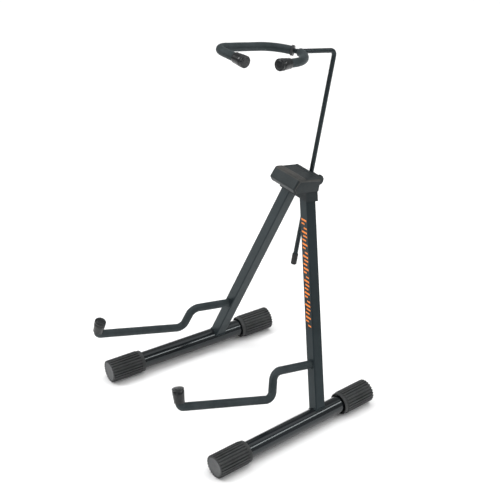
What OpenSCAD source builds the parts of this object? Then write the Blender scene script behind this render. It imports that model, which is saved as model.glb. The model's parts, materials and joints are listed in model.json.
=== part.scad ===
// Folding A-frame guitar stand with two cradle arms and a neck yoke on a telescoping rod.
// Millimetres, +Z up, the arms point to -Y, the floor is Z = 0 and the origin is the bottom
// centre of the bounding box.

/* [Legs] */
// Lean of the leg plane back from vertical
lean = 11.6; // [4:0.1:18]
// Splay of each leg from the middle plane, measured in the leg plane
splay = 20.35; // [14:0.05:24]
// Length of a leg from its pivot to the axis of its foot tube
leg_len = 392.5; // [300:0.5:520]
// Width of the square leg tube across its flats
leg_w = 20; // [16:0.5:26]
// Corner radius of the leg tube
leg_corner = 2; // [1:0.5:4]
// Wall of the leg tube
leg_wall = 1.5; // [1:0.1:3]
// Distance of each pivot from the middle plane
pivot_x = 17.35; // [15.5:0.05:30]

/* [Feet] */
// Outer diameter of the foot tube
foot_d = 30; // [22:0.5:36]
// Wall of the foot tube
foot_wall = 1.5; // [1:0.1:3]
// Foot tube ahead of the leg, to the outer face of the front cap
foot_front = 225; // [150:1:320]
// Foot tube behind the leg, to the outer face of the rear cap
foot_rear = 115; // [90:1:200]
// Angle by which the feet point outwards at the front
toe_out = 3.4; // [0:0.1:8]
// Thickness of a foot cap's rubber round the tube, under the ribs
cap_wall = 3.5; // [3.2:0.1:8]
// Length of a foot cap
cap_len = 66; // [40:1:90]
// Number of ribs round a cap, a multiple of four so that one faces the floor
cap_ribs = 24; // [16:4:32]
// Width of a rib
rib_w = 3; // [1.5:0.1:4]
// Height of a rib
rib_h = 2; // [0.8:0.1:2.4]
// Length of the smooth collar at the mouth of a cap
cap_collar = 7; // [4:1:20]
// Thickness of a cap's closed end
cap_end = 5; // [2:0.5:8]

/* [Cradle arms] */
// Height of an arm's root above the foot tube's axis, along the leg
arm_height = 90; // [60:1:160]
// Diameter of the steel rod of the arms and the neck
rod_d = 8; // [6:0.5:10]
// Outer diameter of the foam sleeves
foam_d = 14.5; // [12:0.5:20]
// Straight part from the leg to the drop
arm_root = 66; // [40:1:90]
// Straight part of the drop
arm_drop = 19; // [4:1:40]
// Straight part that carries the instrument
arm_run = 167; // [110:1:240]
// Rise of that part, measured from the leg's front normal
arm_rise = 6.5; // [0:0.5:12]
// Angle of the upturned tip from the leg's front normal
tip_angle = 84; // [60:1:90]
// Twist of the arm inwards about its root
arm_twist = 3; // [0:0.5:12]
// Outer diameter of the glossy end caps
end_cap_d = 20; // [17:0.5:26]
// Length of an end cap
end_cap_len = 25; // [15:0.5:40]

/* [Neck rod] */
// Gap between the back of the housing and the bush round the neck rod
bush_gap = 0.9; // [0.9:0.1:6]
// Height of the forward run above the pivots
rod_rise = 234; // [190:1:320]
// Reach of the rod below the pivots
rod_below = 150; // [80:1:180]
// Distance of the yoke's joint ahead of the rod
yoke_reach = 77; // [40:1:90]
// Length of the straight side of the yoke
yoke_side = 66; // [40:1:90]
// Length of the straight end of the yoke's long side
yoke_hook = 50; // [32:1:66]
// Length of the straight end of the yoke's short side
yoke_short = 36; // [30:1:60]
// Length of the rubber tip on the lower end of the rod
tip_len = 20; // [10:1:30]

/* [Hinge housing] */
// Room between a leg and the side wall of the cover, at the cover's lower edge
cover_side = 3.4; // [1.5:0.1:8]
// Overhang of the cover's lower front edge ahead of the leg plane
cover_front = 43.4; // [30:0.2:60]
// Height of the screw bosses between the housing and the top of the cover
boss_h = 6.3; // [4:0.1:12]
// Wall of the cover
cover_wall = 2.5; // [1.5:0.1:4]
// Wall of the housing
housing_wall = 2.4; // [1.5:0.1:4]
// How far the skirt reaches below the pivots
skirt = 18; // [12:0.5:30]
// Diameter of the pivot bolts
bolt_d = 6; // [5:0.5:8]
// Diameter of the clamp knob
knob_d = 19; // [16:0.5:24]
// Thickness of the clamp knob
knob_t = 5.5; // [5:0.5:12]

/* [Hidden] */
$fn = 64;
eps = 0.01;

// Clearances: a turning fit, parts of one body, and the gap beside a part that moves
fit_gap = 0.05;
seat_gap = 0.02;
sleeve_gap = 0.2;
move_gap = 0.35;

// Joins between the straights and the bends of a bar
join_len = 0.3;
join_step = 0.12;

// Colours
steel_black = [0.10, 0.105, 0.11];
rubber_grey = [0.16, 0.16, 0.16];
foam_grey = [0.20, 0.205, 0.21];
plastic_grey = [0.17, 0.175, 0.18];
gloss_black = [0.05, 0.05, 0.055];
zinc = [0.62, 0.63, 0.65];

// Radii
rod_r = rod_d / 2;
foam_r = foam_d / 2;
foot_r = foot_d / 2;
cap_core_r = foot_r + cap_wall;
cap_r = cap_core_r + rib_h;
half_w = leg_w / 2;
bolt_r = bolt_d / 2;
end_cap_r = end_cap_d / 2;
end_cap_wall = 2.5;

// Bends of the arms and of the neck rod
drop_bend_r = 16;
drop_angle = 84;
run_bend_r = 13;
tip_bend_r = 9;
rod_bend_r = 9;
kink_r = 9;
kink_angle = 52;
side_bend_r = 60;
corner_r = 22;
corner_angle = 95;
short_start = 78;
short_bend_r = 66;
short_bend_angle = 66;
collar_len = 4.5;
collar_r = 8.7;
short_sleeve_start = 5;

// Leg plane
pivot_h = leg_len * cos(splay);
foot_x = pivot_x + leg_len * sin(splay);

// Housing, in the leg plane with the pivots at Z = 0
wall_in = half_w + 0.6;
wall_out = wall_in + housing_wall;
side_in = half_w + move_gap;
side_out = side_in + housing_wall;
side_slope = tan(splay);
bay_top = half_w + 1.5;
deck_top = bay_top + 3;
web_x = pivot_x - half_w - 0.75;
web_top = -3;
cover_top = deck_top + boss_h + cover_wall;
cover_low = -2;
cover_x = pivot_x - cover_low * side_slope + half_w / cos(splay) + cover_side + cover_wall;
cover_gap = 0.2;
inner_x = cover_x - cover_wall - cover_gap;
cover_round = 3;
visor_top_back = 9.2;
visor_low = 5.2;
ridge_len = 11;
recess_depth = 0.9;
guide_low = -8;
guide_high = 17;
bush_r = rod_r + 1.6;
guide_r = bush_r + 3.6;
flange_r = bush_r + 1.7;
clip_r = bush_r + 1.8;
rod_back = wall_out - 0.5 + bush_gap + bush_r;
flange_t = 1.6;
clip_t = 1.2;
clamp_r = 2.5;
clamp_back = rod_back + bush_r + clamp_r + 0.9;
clamp_z = 9;
ear_half = guide_r + 0.2;
ear_r = 7.5;
slot_w = 2;
clamp_head = 4;
knob_end = 1.6;
screw_r = 1.5;
screw_y = [-7, 6];
boss_r = 3.4;

// Foot caps
cap_mouth_r = foot_r + 2;
cap_mouth_depth = 4;
cap_rim = 1;
rib_lap = 0.5;

// Tip of an arm in its own plane: s runs out from the leg, t runs down
run_s = arm_root + drop_bend_r * sin(drop_angle) + arm_drop * cos(drop_angle)
    + run_bend_r * (sin(drop_angle) + sin(arm_rise));
run_t = drop_bend_r * (1 - cos(drop_angle)) + arm_drop * sin(drop_angle)
    + run_bend_r * (cos(arm_rise) - cos(drop_angle));
tip_s = run_s + arm_run * cos(arm_rise) + tip_bend_r * (sin(tip_angle) - sin(arm_rise))
    + end_cap_len * cos(tip_angle);
tip_t = run_t - arm_run * sin(arm_rise) - tip_bend_r * (cos(arm_rise) - cos(tip_angle))
    - end_cap_len * sin(tip_angle);

// Front and back of the whole stand, measured from the leg plane's foot
tip_up = arm_height * cos(splay) - tip_t * cos(splay - arm_twist);
tip_dir_y = -cos(tip_angle) * cos(lean) + sin(tip_angle) * cos(splay - arm_twist) * sin(lean);
front_y = -(half_w + tip_s) * cos(lean) + tip_up * sin(lean)
    - end_cap_r * sqrt(1 - pow(tip_dir_y, 2)) - max(tip_dir_y, 0) * end_cap_len;
back_y = (rod_back - rod_bend_r) * cos(lean) + (pivot_h + rod_rise - rod_bend_r) * sin(lean)
    + rod_bend_r + rod_r;
frame_y = -(front_y + back_y) / 2;

// ---------------------------------------------------------------- frames

// Leg plane: X across, Y to the back, Z up the plane, with the foot axes at Z = 0
module in_plane() {
    translate([0, frame_y, cap_r])
        rotate([-lean, 0, 0])
            children();
}

// The same plane with the pivots at Z = 0
module at_hinge() {
    in_plane()
        translate([0, 0, pivot_h])
            children();
}

// Right leg: its pivot at the origin, the leg down -Z, its front face to -Y
module on_leg() {
    at_hinge()
        translate([pivot_x, 0, 0])
            rotate([0, -splay, 0])
                children();
}

// Right foot: the leg's foot at the origin, the front of the foot to -Y
module on_foot() {
    translate([foot_x, frame_y, cap_r])
        rotate([0, 0, toe_out])
            children();
}

module on_side(right) {
    if (right)
        children();
    else
        mirror([1, 0, 0])
            children();
}

// ---------------------------------------------------------------- shapes

// Ring or disc outline
module ring(r_out, r_in) {
    difference() {
        circle(r_out);
        if (r_in > 0)
            circle(r_in);
    }
}

// Bent round bar or tube along +Z. Each step is [straight, bend radius, bend angle, roll] and
// only the steps from first to last are drawn. A straight runs a little way into the bends
// beside it, which are a hair larger, so that the pieces join as one solid.
module bent(steps, r_out, r_in = 0, first = 0, last = 99, i = 0) {
    if (i < len(steps)) {
        run = steps[i][0];
        bend_r = steps[i][1];
        angle = steps[i][2];
        lead = i > first ? join_len : 0;
        tail = angle > 0 || i < min(last, len(steps) - 1) ? join_len : 0;
        rotate([0, 0, steps[i][3]]) {
            if (i >= first && i <= last) {
                if (run > 0)
                    translate([0, 0, -lead])
                        linear_extrude(run + lead + tail)
                            ring(r_out, r_in);
                if (angle > 0)
                    translate([bend_r, 0, run])
                        rotate([90, 0, 180])
                            rotate_extrude(angle = angle)
                                translate([bend_r, 0])
                                    ring(r_out + join_step, r_in > 0 ? r_in + join_step : 0);
            }
            translate([bend_r * (1 - cos(angle)), 0, run + bend_r * sin(angle)])
                rotate([0, angle, 0])
                    bent(steps, r_out, r_in, first, last, i + 1);
        }
    }
}

// Children placed at the far end of a bent bar
module bent_end(steps, i = 0) {
    if (i < len(steps)) {
        bend_r = steps[i][1];
        angle = steps[i][2];
        rotate([0, 0, steps[i][3]])
            translate([bend_r * (1 - cos(angle)), 0, steps[i][0] + bend_r * sin(angle)])
                rotate([0, angle, 0])
                    bent_end(steps, i + 1)
                        children();
    } else
        children();
}

// Square with round corners, its arcs exact
module round_square(w, r) {
    h = w / 2 - r;
    square([w, 2 * h], center = true);
    square([2 * h, w], center = true);
    for (x = [-h, h], y = [-h, h])
        translate([x, y])
            circle(r);
}

// Cylinder along +Y from y = 0
module y_cylinder(r, len) {
    rotate([-90, 0, 0])
        cylinder(r = r, h = len);
}

// Cylinder along +X from x = 0
module x_cylinder(r, len) {
    rotate([0, 90, 0])
        cylinder(r = r, h = len);
}

// Hexagon bar along +Y from y = 0
module y_hexagon(flats, len) {
    rotate([-90, 0, 0])
        cylinder(d = flats / cos(30), h = len, $fn = 6);
}

// Outline in X and Z, pulled along Y from y0 to y1
module slab(points, y0, y1) {
    translate([0, y1, 0])
        rotate([90, 0, 0])
            linear_extrude(y1 - y0)
                polygon(points);
}

function mirrored(points) = concat(points, [for (i = [len(points) - 1:-1:0]) [-points[i].x, points[i].y]]);

// ---------------------------------------------------------------- hinge housing

// Half width of the housing at a height, on the inside and on the outside of its side wall
function bay_x(z) = pivot_x - z * side_slope + side_in / cos(splay);
function side_x(z) = pivot_x - z * side_slope + side_out / cos(splay);

module body_outline(y0, y1) {
    shoulder_z = -(inner_x - side_x(0)) / side_slope;
    slab(mirrored([
        [side_x(-skirt), -skirt], [side_x(cover_low - 0.5), cover_low - 0.5],
        [inner_x, cover_low - 0.5], [inner_x, max(shoulder_z, cover_low)],
        [side_x(deck_top), deck_top]
    ]), y0, y1);
}

module back_outline(y0, y1) {
    slab(mirrored([
        [side_x(-skirt), -skirt], [side_x(cover_low - 0.5), cover_low - 0.5],
        [inner_x, cover_low - 0.5], [inner_x, cover_top - cover_wall - cover_gap]
    ]), y0, y1);
}

// Space in which both legs swing, round the middle web
module leg_bay() {
    slab(mirrored([
        [web_x, web_top], [web_x, -skirt - 1], [bay_x(-skirt - 1), -skirt - 1],
        [bay_x(bay_top), bay_top]
    ]), -wall_in, wall_in);
}

module guide_body() {
    translate([0, rod_back, guide_low])
        cylinder(r = guide_r, h = guide_high - guide_low);
    translate([-guide_r, wall_in + eps, guide_low])
        cube([2 * guide_r, rod_back - wall_in, guide_high - guide_low]);
    translate([-ear_half, clamp_back, clamp_z])
        x_cylinder(ear_r, 2 * ear_half);
    translate([-ear_half, rod_back, clamp_z - ear_r])
        cube([2 * ear_half, clamp_back - rod_back, 2 * ear_r]);
}

module hinge_housing() {
    color(plastic_grey)
        at_hinge()
            difference() {
                union() {
                    body_outline(-wall_out, wall_out - 0.5);
                    back_outline(wall_in, wall_out - 0.5);
                    guide_body();
                }
                leg_bay();
                for (x = [-pivot_x, pivot_x])
                    translate([x, -wall_out - 1, 0])
                        y_cylinder(bolt_r + seat_gap, 2 * wall_out + 2);
                translate([0, rod_back, guide_low - 1])
                    cylinder(r = bush_r + fit_gap, h = guide_high - guide_low + 2);
                translate([0, rod_back, guide_high + 0.05])
                    cylinder(r = flange_r + move_gap, h = cover_top);
                translate([0, rod_back, -skirt - 1])
                    cylinder(r = clip_r + move_gap, h = skirt + 1 + guide_low - 0.05);
                translate([-ear_half - 1, clamp_back, clamp_z])
                    x_cylinder(clamp_r + seat_gap, 2 * ear_half + 2);
                translate([-slot_w / 2, rod_back, guide_low - 1])
                    cube([slot_w, clamp_back, guide_high - guide_low + 2]);
                for (y = screw_y)
                    translate([0, y, bay_top - 1])
                        cylinder(r = screw_r + seat_gap, h = 5);
            }
}

// Outline of the cover seen from the side, in Y and Z
function cover_side(g, low) = [
    [-cover_front + g, visor_low + g * 0.6], [-cover_front + visor_top_back + g, cover_top - g],
    [wall_out - 0.5, cover_top - g], [wall_out - 0.5, low], [-cover_front + 5 + g, low]
];

// Outline in Y and Z, pulled along X
module x_slab(points, x0, x1) {
    translate([x0, 0, 0])
        rotate([90, 0, 90])
            linear_extrude(x1 - x0)
                polygon(points);
}

module cover_block() {
    r = cover_round;
    back = wall_out - 0.5;
    hull() {
        for (x = [-cover_x + r, cover_x - r]) {
            translate([x, -cover_front + visor_top_back + r, cover_top - r])
                sphere(r, $fn = 32);
            translate([x, -cover_front + r, visor_low + r * 0.6])
                sphere(r, $fn = 32);
            translate([x, -cover_front + 6 + r, cover_low + r])
                sphere(r, $fn = 32);
            translate([x, back - r, cover_top - r])
                rotate([-90, 0, 0])
                    cylinder(r = r, h = r, $fn = 32);
        }
        translate([-cover_x, back - r, cover_low])
            cube([2 * cover_x, r, 1]);
    }
}

// Shallow dished panel behind the front ridge, its corners round
module cover_recess() {
    r = 5;
    x = cover_x - 6 - r;
    front = -cover_front + visor_top_back + cover_round + ridge_len;
    back = wall_out - 5;
    translate([0, 0, cover_top - recess_depth])
        linear_extrude(5)
            hull()
                for (px = [-x, x], py = [front + r, back - r])
                    translate([px, py])
                        circle(r, $fn = 32);
}

module housing_cover() {
    cavity = cover_side(cover_wall, cover_low - 5);
    color(plastic_grey)
        at_hinge() {
            difference() {
                cover_block();
                x_slab(cavity, -cover_x + cover_wall, cover_x - cover_wall);
                translate([-cover_x + cover_wall, wall_in - 1, cover_low - 5])
                    cube([2 * (cover_x - cover_wall), 5, cover_top - cover_wall - cover_low + 5]);
                cover_recess();
            }
            for (y = screw_y)
                translate([0, y, deck_top + seat_gap])
                    difference() {
                        cylinder(r = boss_r, h = cover_top - cover_wall - deck_top);
                        translate([0, 0, -1])
                            cylinder(r = screw_r + seat_gap, h = 4.5);
                    }
        }
}

module cover_screws() {
    color(zinc)
        at_hinge()
            for (y = screw_y)
                translate([0, y, bay_top]) {
                    translate([0, 0, -1.6])
                        cylinder(r = 2.8, h = 1.6 - seat_gap);
                    translate([0, 0, -1])
                        cylinder(r = screw_r, h = 7);
                }
}

// ---------------------------------------------------------------- pivots

module pivot_bolts() {
    head_y = wall_out - 0.5;
    nut_y = -wall_out - 1.2 - 5.5;
    color(zinc)
        at_hinge()
            for (x = [-pivot_x, pivot_x])
                translate([x, 0, 0]) {
                    translate([0, nut_y, 0])
                        y_cylinder(bolt_r, head_y - nut_y + 1);
                    translate([0, head_y + seat_gap, 0])
                        difference() {
                            union() {
                                y_cylinder(5.2, 1.8);
                                y_cylinder(4.2, 2.8);
                            }
                            translate([0, 1.2, 0])
                                y_hexagon(4, 3);
                        }
                }
}

module pivot_nuts() {
    color(zinc)
        at_hinge()
            for (x = [-pivot_x, pivot_x])
                translate([x, -wall_out - 1.2 - 5 - 2 * seat_gap, 0])
                    difference() {
                        y_hexagon(10, 5);
                        translate([0, -1, 0])
                            y_cylinder(bolt_r + seat_gap, 7);
                    }
}

module pivot_washers() {
    color(zinc)
        at_hinge()
            for (x = [-pivot_x, pivot_x])
                translate([x, -wall_out - 1.2 - seat_gap, 0])
                    difference() {
                        y_cylinder(6, 1.2);
                        translate([0, -1, 0])
                            y_cylinder(bolt_r + seat_gap, 4);
                    }
}

// Flanged plastic bushes in the front and back walls of a leg
module pivot_bushes(right) {
    color(plastic_grey)
        on_side(right)
            on_leg()
                for (turn = [0, 180])
                    rotate([0, 0, turn])
                        translate([0, -half_w - 0.4, 0])
                            difference() {
                                union() {
                                    y_cylinder(7, 0.4 - seat_gap);
                                    y_cylinder(bolt_r + 1.4, 5);
                                }
                                translate([0, -1, 0])
                                    y_cylinder(bolt_r + fit_gap, 8);
                            }
}

// ---------------------------------------------------------------- rod clamp

module clamp_bolt() {
    color(zinc)
        at_hinge()
            translate([-ear_half - seat_gap, clamp_back, clamp_z]) {
                x_cylinder(clamp_r, 2 * ear_half + knob_t - knob_end);
                translate([-clamp_head, 0, 0])
                    rotate([0, 90, 0])
                        cylinder(d = 8 / cos(30), h = clamp_head, $fn = 6);
            }
}

module clamp_knob() {
    grips = 12;
    color(plastic_grey)
        at_hinge()
            translate([ear_half + 0.3, clamp_back, clamp_z])
                rotate([0, 90, 0])
                    difference() {
                        union() {
                            cylinder(r = knob_d / 2, h = knob_t - 1);
                            cylinder(r = knob_d / 2 - 1.2, h = knob_t);
                        }
                        for (i = [0:grips - 1])
                            rotate([0, 0, i * 360 / grips])
                                translate([knob_d / 2 + 1, 0, -1])
                                    cylinder(r = 1.9, h = knob_t + 2);
                        translate([0, 0, -1])
                            cylinder(r = clamp_r + fit_gap, h = knob_t - knob_end + 1.3);
                    }
}

// Split bush that turns in the guide, with a flange above it
module swivel_bush() {
    color(gloss_black)
        at_hinge()
            translate([0, rod_back, 0])
                difference() {
                    union() {
                        translate([0, 0, guide_low - clip_t - 1])
                            cylinder(r = bush_r, h = guide_high - guide_low + clip_t + 1 + flange_t);
                        translate([0, 0, guide_high + 0.1])
                            cylinder(r = flange_r, h = flange_t - 0.1);
                    }
                    translate([0, 0, guide_low - 5])
                        cylinder(r = rod_r + fit_gap, h = guide_high - guide_low + 10);
                    translate([-0.5, 0, guide_low - 5])
                        cube([1, guide_r + 1, guide_high - guide_low + 10]);
                }
}

// Snap ring that keeps the bush from lifting out of the guide
module bush_clip() {
    color(zinc)
        at_hinge()
            translate([0, rod_back, guide_low - clip_t - 0.1])
                difference() {
                    cylinder(r = clip_r, h = clip_t);
                    translate([0, 0, -1])
                        cylinder(r = bush_r + seat_gap, h = clip_t + 2);
                    translate([-1.5, 0, -1])
                        cube([3, bush_r + 3, clip_t + 2]);
                }
}

// ---------------------------------------------------------------- legs and feet

module leg_tube(right) {
    color(steel_black)
        on_side(right)
            difference() {
                on_leg()
                    difference() {
                        union() {
                            translate([0, 0, -leg_len])
                                linear_extrude(leg_len)
                                    round_square(leg_w, leg_corner);
                            translate([0, -half_w, 0])
                                y_cylinder(half_w, leg_w);
                        }
                        translate([0, 0, -leg_len - 1])
                            linear_extrude(leg_len + 1)
                                square(leg_w - 2 * leg_wall, center = true);
                        translate([0, -half_w + leg_wall, 0])
                            y_cylinder(half_w - leg_wall, leg_w - 2 * leg_wall);
                        translate([0, -half_w - 1, 0])
                            y_cylinder(bolt_r + 1.4 + seat_gap, leg_w + 2);
                        translate([0, -half_w - 1, arm_height - leg_len])
                            y_cylinder(rod_r + seat_gap, leg_wall + 2);
                    }
                on_foot()
                    translate([0, -foot_front, 0])
                        y_cylinder(foot_r + seat_gap, foot_front + foot_rear);
            }
}

module foot_tube(right) {
    color(steel_black)
        on_side(right)
            on_foot()
                translate([0, -foot_front + cap_end, 0])
                    difference() {
                        y_cylinder(foot_r, foot_front + foot_rear - 2 * cap_end);
                        translate([0, -1, 0])
                            y_cylinder(foot_r - foot_wall, foot_front + foot_rear);
                    }
}

// Ribbed rubber cap along +Z from its closed outer end at z = 0
module foot_cap() {
    color(rubber_grey)
        difference() {
            union() {
                cylinder(r1 = cap_core_r - cap_rim, r2 = cap_core_r, h = cap_rim);
                translate([0, 0, cap_rim])
                    cylinder(r = cap_core_r, h = cap_len - cap_rim);
                for (i = [0:cap_ribs - 1])
                    rotate([0, 0, i * 360 / cap_ribs])
                        translate([cap_core_r - 1, -rib_w / 2, cap_rim + rib_lap])
                            cube([rib_h + 1, rib_w, cap_len - cap_collar - cap_rim]);
                translate([0, 0, cap_len - cap_collar])
                    cylinder(r = cap_core_r + rib_h / 2, h = cap_collar);
            }
            translate([0, 0, cap_end])
                cylinder(r = foot_r + seat_gap, h = cap_len);
            translate([0, 0, cap_len - cap_mouth_depth])
                cylinder(r = cap_mouth_r, h = cap_mouth_depth + 1);
        }
}

module front_cap(right) {
    on_side(right)
        on_foot()
            translate([0, -foot_front, 0])
                rotate([-90, 0, 0])
                    foot_cap();
}

module rear_cap(right) {
    on_side(right)
        on_foot()
            translate([0, foot_rear, 0])
                rotate([90, 0, 0])
                    foot_cap();
}

// ---------------------------------------------------------------- cradle arms

arm_steps = [
    [arm_root, drop_bend_r, drop_angle, 0],
    [arm_drop, run_bend_r, drop_angle + arm_rise, 180],
    [arm_run, tip_bend_r, tip_angle - arm_rise, 0],
    [end_cap_len - end_cap_wall - seat_gap, 0, 0, 0]
];

// Root of the right arm on the leg's front face, +Z outwards and +X down the leg
module at_arm() {
    on_leg()
        translate([0, -half_w, arm_height - leg_len])
            rotate([90, 0, 0])
                rotate([0, 0, -90 - arm_twist])
                    children();
}

module arm_rod(right) {
    color(steel_black)
        on_side(right)
            at_arm() {
                bent(arm_steps, rod_r);
                translate([0, 0, -leg_wall - 1])
                    cylinder(r = rod_r, h = leg_wall + 1);
            }
}

module arm_sleeve(right) {
    color(foam_grey)
        on_side(right)
            at_arm()
                bent(arm_steps, foam_r, rod_r + sleeve_gap);
}

// Glossy end cap along +Z from its mouth at z = 0
module end_cap() {
    rim = 1.2;
    difference() {
        union() {
            cylinder(r = end_cap_r, h = end_cap_len - rim);
            translate([0, 0, end_cap_len - rim])
                cylinder(r1 = end_cap_r, r2 = end_cap_r - rim, h = rim);
        }
        translate([0, 0, -1])
            cylinder(r = foam_r + seat_gap, h = end_cap_len - end_cap_wall + 1);
    }
}

// End cap over the last straight of a bent bar
module cap_on(steps) {
    bent_end(steps)
        translate([0, 0, end_cap_wall + seat_gap - end_cap_len])
            end_cap();
}

module arm_cap(right) {
    color(gloss_black)
        on_side(right)
            at_arm()
                cap_on(arm_steps);
}

// ---------------------------------------------------------------- neck rod and yoke

neck_steps = [
    [rod_rise + rod_below - rod_bend_r, rod_bend_r, 90, -90],
    [yoke_reach - rod_bend_r, kink_r, kink_angle, -90],
    [collar_len, 0, 0, 180],
    [0, side_bend_r, kink_angle, 0],
    [yoke_side, corner_r, corner_angle, 0],
    [yoke_hook, 0, 0, 0]
];

short_steps = [
    [short_sleeve_start, 0, 0, 0],
    [0, short_bend_r, short_bend_angle, 180],
    [yoke_short, 0, 0, 0]
];

module at_rod() {
    at_hinge()
        translate([0, rod_back, -rod_below])
            children();
}

// Start of the yoke's short side on the forward run
module at_short() {
    at_hinge()
        translate([0, rod_back - yoke_reach, rod_rise])
            rotate([90, 0, 0])
                rotate([0, short_start, 0])
                    children();
}

module neck_rod() {
    color(steel_black)
        at_rod()
            bent(neck_steps, rod_r);
}

module rod_tip() {
    color(rubber_grey)
        at_rod()
            translate([0, 0, -3])
                difference() {
                    union() {
                        cylinder(r1 = rod_r, r2 = rod_r + 1.2, h = 1.5);
                        translate([0, 0, 1.5])
                            cylinder(r = rod_r + 1.2, h = tip_len - 1.5);
                    }
                    translate([0, 0, 3 - seat_gap])
                        cylinder(r = rod_r + seat_gap, h = tip_len);
                }
}

module yoke_branch() {
    color(steel_black)
        difference() {
            at_short()
                bent(short_steps, rod_r);
            at_rod()
                bent(neck_steps, rod_r + seat_gap, first = 1, last = 1);
        }
}

module yoke_collar() {
    color(gloss_black)
        at_rod()
            bent(neck_steps, collar_r, rod_r + seat_gap, first = 2, last = 2);
}

module yoke_long_sleeve() {
    color(foam_grey)
        at_rod()
            bent(neck_steps, foam_r, rod_r + sleeve_gap, first = 3);
}

module yoke_short_sleeve() {
    color(foam_grey)
        at_short()
            bent(short_steps, foam_r, rod_r + sleeve_gap, first = 1);
}

module yoke_long_cap() {
    color(gloss_black)
        at_rod()
            cap_on(neck_steps);
}

module yoke_short_cap() {
    color(gloss_black)
        at_short()
            cap_on(short_steps);
}

hinge_housing();
housing_cover();
cover_screws();
pivot_bolts();
pivot_nuts();
pivot_washers();
clamp_bolt();
clamp_knob();
swivel_bush();
bush_clip();
leg_tube(false);  // left_leg_tube
pivot_bushes(false);  // left_pivot_bushes
foot_tube(false);  // left_foot_tube
front_cap(false);  // left_front_cap
rear_cap(false);  // left_rear_cap
arm_rod(false);  // left_arm_rod
arm_sleeve(false);  // left_arm_sleeve
arm_cap(false);  // left_arm_cap
leg_tube(true);  // right_leg_tube
pivot_bushes(true);  // right_pivot_bushes
foot_tube(true);  // right_foot_tube
front_cap(true);  // right_front_cap
rear_cap(true);  // right_rear_cap
arm_rod(true);  // right_arm_rod
arm_sleeve(true);  // right_arm_sleeve
arm_cap(true);  // right_arm_cap
neck_rod();
rod_tip();
yoke_branch();
yoke_collar();
yoke_long_sleeve();
yoke_short_sleeve();
yoke_long_cap();
yoke_short_cap();
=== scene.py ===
"""Looks of the folding instrument stand: foam sleeves, ribbed feet, welds, moulded cover and finishes.

Lengths in the tables below are millimetres; everything is built in metres in the frame of the CAD part.
"""

import json
import math

import bmesh
import bpy
from mathutils import Matrix, Vector, noise


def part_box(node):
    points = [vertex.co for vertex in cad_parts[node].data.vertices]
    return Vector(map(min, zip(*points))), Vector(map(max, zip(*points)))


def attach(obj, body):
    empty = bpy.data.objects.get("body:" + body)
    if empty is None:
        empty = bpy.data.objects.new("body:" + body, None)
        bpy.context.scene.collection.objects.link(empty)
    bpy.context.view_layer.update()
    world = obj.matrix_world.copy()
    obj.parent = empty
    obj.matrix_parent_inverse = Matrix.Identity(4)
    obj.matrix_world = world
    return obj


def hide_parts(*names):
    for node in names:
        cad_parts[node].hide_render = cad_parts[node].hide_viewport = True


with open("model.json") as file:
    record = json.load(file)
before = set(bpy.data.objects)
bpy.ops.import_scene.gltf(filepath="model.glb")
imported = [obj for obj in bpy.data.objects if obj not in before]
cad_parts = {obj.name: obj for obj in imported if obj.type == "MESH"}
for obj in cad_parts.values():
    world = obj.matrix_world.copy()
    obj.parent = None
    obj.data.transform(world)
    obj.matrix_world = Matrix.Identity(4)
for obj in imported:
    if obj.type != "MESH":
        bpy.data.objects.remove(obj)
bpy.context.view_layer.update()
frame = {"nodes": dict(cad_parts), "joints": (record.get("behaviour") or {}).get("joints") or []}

MM = 0.001
SEED = 7

# ---------------------------------------------------------------- sizes

SPLAY = 20.35
LEG_LEN = 392.5
LEG_W = 20.0
PIVOT_X = 17.35
FOOT_R = 15.0
FOOT_FRONT = 225.0
FOOT_REAR = 115.0
TOE_OUT = 3.4
CAP_R = 20.5
CAP_LEN = 66.0
CAP_RIBS = 24
CAP_COLLAR = 7.0
RIB_H = 2.0
GROOVE = 2.3
RIB_W = 3.0
ARM_HEIGHT = 90.0
ARM_TWIST = 3.0
ROD_R = 4.0
FOAM_R = 7.25
END_CAP_R = 10.0
END_CAP_LEN = 25.0
END_CAP_WALL = 2.5
ROD_BACK = 19.0
ROD_RISE = 234.0
ROD_BELOW = 150.0
YOKE_REACH = 77.0
SHORT_START = 78.0
FACE_T = 5.1
COVER_W = 69.32
COVER_WALL = 2.0
COVER_FRONT = 43.4
COVER_TOP = 23.3
COVER_BACK = 12.5
COVER_LOW = -2.0
LIP_BACK = 5.0
LIP_ROUND = 3.4
VISOR_LOW = 5.2
VISOR_LEAN = 9.2
RIDGE_ROUND = 5.4
SIDE_ROUND = 3.4

# Bent bars: straight, bend radius, bend angle, roll before the straight
ARM_STEPS = [(66, 16, 84, 0), (19, 13, 90.5, 180), (167, 9, 77.5, 0), (22.5, 0, 0, 0)]
NECK_STEPS = [
    (ROD_RISE + ROD_BELOW - 9, 9, 90, -90), (YOKE_REACH - 9, 9, 52, -90), (4.5, 0, 0, 180),
    (0, 60, 52, 0), (66, 22, 95, 0), (50, 0, 0, 0),
]
SHORT_STEPS = [(5, 0, 0, 0), (0, 66, 66, 180), (36, 0, 0, 0)]


# ---------------------------------------------------------------- places

def joint(name):
    return next(j for j in frame["joints"] if j["name"] == name)


def turn(axis, degrees):
    return Matrix.Rotation(math.radians(degrees), 4, axis)


def shift(x=0.0, y=0.0, z=0.0):
    return Matrix.Translation(Vector((x, y, z)) * MM)


def hinge_frame():
    """Between the pivots: X across, Y to the back, square to the leg plane, Z up the plane."""
    right, left = joint("right_leg_fold"), joint("left_leg_fold")
    middle = (Vector(right["pos_m"]) + Vector(left["pos_m"])) / 2
    y_axis = Vector(right["axis"]).normalized()
    z_axis = Vector((1, 0, 0)).cross(y_axis)
    axes = Matrix((Vector((1, 0, 0)), y_axis, z_axis)).transposed().to_4x4()
    return Matrix.Translation(middle) @ axes


HINGE = hinge_frame()


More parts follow.
